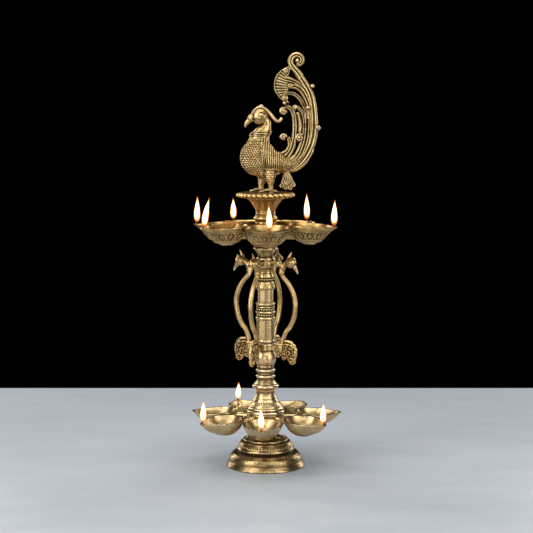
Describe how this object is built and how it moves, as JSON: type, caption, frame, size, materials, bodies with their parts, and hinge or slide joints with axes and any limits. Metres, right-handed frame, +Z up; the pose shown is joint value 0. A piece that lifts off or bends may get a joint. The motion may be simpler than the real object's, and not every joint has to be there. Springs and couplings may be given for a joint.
{
  "type": "standing oil lamp",
  "caption": "Standing brass oil lamp: stepped foot, turned stem with bird brackets, two swivelling tiers of spouted wick cups, and a screw-on peacock finial.",
  "frame": {"origin": "on the floor, on the axis of the stem, in the plane of the foot's flange", "axes": "+Z up along the stem; -Y is the front, the side that the lamp is seen from; the peacock looks towards -X"},
  "size_m": [0.1994, 0.1966, 0.539],
  "materials": {
    "patinated_brass": "cast brass with brown-olive tarnish in its hollows and rubbed edges",
    "carved_brass": "cast and chased brass, satin, darker in the chasing",
    "polished_brass": "turned and hand-polished brass, lightly tarnished",
    "cotton": "twisted cotton, oil-soaked, charred at the lit end"
  },
  "bodies": {
    "base": {"base_foot": "patinated_brass", "base_stud": "carved_brass"},
    "lower_tray": {"lower_hub": "patinated_brass", "lower_cup_1": "polished_brass", "lower_cup_2": "polished_brass", "lower_cup_3": "polished_brass", "lower_cup_4": "polished_brass", "lower_cup_5": "polished_brass", "lower_cup_6": "polished_brass", "lower_cup_7": "polished_brass"},
    "stem_washer": {"stem_washer": "patinated_brass"},
    "stem": {"stem_bell": "polished_brass", "stem_knop": "carved_brass", "stem_globe": "carved_brass", "lower_spider": "patinated_brass", "lower_column": "polished_brass", "beaded_collar": "carved_brass", "upper_column": "polished_brass", "upper_collar": "carved_brass", "upper_spider": "patinated_brass", "tray_seat": "carved_brass", "tie_rod": "carved_brass", "bracket_1": "patinated_brass", "bracket_2": "patinated_brass", "bracket_3": "patinated_brass", "bracket_4": "patinated_brass", "lower_rivets": "carved_brass", "upper_rivets": "carved_brass"},
    "upper_tray": {"upper_hub": "patinated_brass", "upper_cup_1": "carved_brass", "upper_cup_2": "carved_brass", "upper_cup_3": "carved_brass", "upper_cup_4": "carved_brass", "upper_cup_5": "carved_brass", "upper_cup_6": "carved_brass"},
    "finial_washer": {"finial_washer": "patinated_brass"},
    "finial": {"pedestal": "carved_brass", "finial_plate": "carved_brass", "plate_screw": "carved_brass", "peacock_body": "carved_brass", "peacock_tail": "carved_brass"},
    "lower_wick_1": {"lower_wick_1": "cotton"},
    "lower_wick_2": {"lower_wick_2": "cotton"},
    "lower_wick_5": {"lower_wick_5": "cotton"},
    "lower_wick_7": {"lower_wick_7": "cotton"},
    "upper_wick_1": {"upper_wick_1": "cotton"},
    "upper_wick_2": {"upper_wick_2": "cotton"},
    "upper_wick_3": {"upper_wick_3": "cotton"},
    "upper_wick_4": {"upper_wick_4": "cotton"},
    "upper_wick_5": {"upper_wick_5": "cotton"},
    "upper_wick_6": {"upper_wick_6": "cotton"}
  },
  "joints": [
    {"name": "lower_tray_swivel", "type": "hinge", "parent": "base", "child": "lower_tray", "pos_m": [0, 0, 0.046], "axis": [0, 0, 1], "continuous": true},
    {"name": "stem_screw_lift", "type": "slide", "parent": "base", "child": "stem_washer", "axis": [0, 0, 1], "range_m": [0, 0.01]},
    {"name": "stem_screw_turn", "type": "hinge", "parent": "stem_washer", "child": "stem", "pos_m": [0, 0, 0.071], "axis": [0, 0, 1], "range_deg": [0, 1818]},
    {"name": "upper_tray_swivel", "type": "hinge", "parent": "stem", "child": "upper_tray", "pos_m": [0, 0, 0.2885], "axis": [0, 0, 1], "continuous": true},
    {"name": "finial_screw_lift", "type": "slide", "parent": "stem", "child": "finial_washer", "axis": [0, 0, 1], "range_m": [0, 0.01]},
    {"name": "finial_screw_turn", "type": "hinge", "parent": "finial_washer", "child": "finial", "pos_m": [0, 0, 0.318], "axis": [0, 0, 1], "range_deg": [0, 1818]},
    {"name": "lower_wick_1_slide", "type": "slide", "parent": "lower_tray", "child": "lower_wick_1", "axis": [-0.0495, -0.9442, 0.3256], "range_m": [0, 0.008]},
    {"name": "lower_wick_2_slide", "type": "slide", "parent": "lower_tray", "child": "lower_wick_2", "axis": [0.7074, -0.6274, 0.3256], "range_m": [0, 0.008]},
    {"name": "lower_wick_5_slide", "type": "slide", "parent": "lower_tray", "child": "lower_wick_5", "axis": [-0.3651, 0.8722, 0.3256], "range_m": [0, 0.008]},
    {"name": "lower_wick_7_slide", "type": "slide", "parent": "lower_tray", "child": "lower_wick_7", "axis": [-0.7691, -0.55, 0.3256], "range_m": [0, 0.008]},
    {"name": "upper_wick_1_slide", "type": "slide", "parent": "upper_tray", "child": "upper_wick_1", "axis": [0.0495, -0.9442, 0.3256], "range_m": [0, 0.008]},
    {"name": "upper_wick_2_slide", "type": "slide", "parent": "upper_tray", "child": "upper_wick_2", "axis": [0.894, -0.3078, 0.3256], "range_m": [0, 0.008]},
    {"name": "upper_wick_3_slide", "type": "slide", "parent": "upper_tray", "child": "upper_wick_3", "axis": [0.569, 0.7551, 0.3256], "range_m": [0, 0.008]},
    {"name": "upper_wick_4_slide", "type": "slide", "parent": "upper_tray", "child": "upper_wick_4", "axis": [-0.4439, 0.8348, 0.3256], "range_m": [0, 0.008]},
    {"name": "upper_wick_5_slide", "type": "slide", "parent": "upper_tray", "child": "upper_wick_5", "axis": [-0.9174, 0.2287, 0.3256], "range_m": [0, 0.008]},
    {"name": "upper_wick_6_slide", "type": "slide", "parent": "upper_tray", "child": "upper_wick_6", "axis": [-0.7839, -0.5287, 0.3256], "range_m": [0, 0.008]}
  ],
  "couplings": [
    {"joint": "stem_screw_turn", "follows": "stem_screw_lift", "rad_per_m": 3141.6},
    {"joint": "finial_screw_turn", "follows": "finial_screw_lift", "rad_per_m": 3141.6}
  ]
}
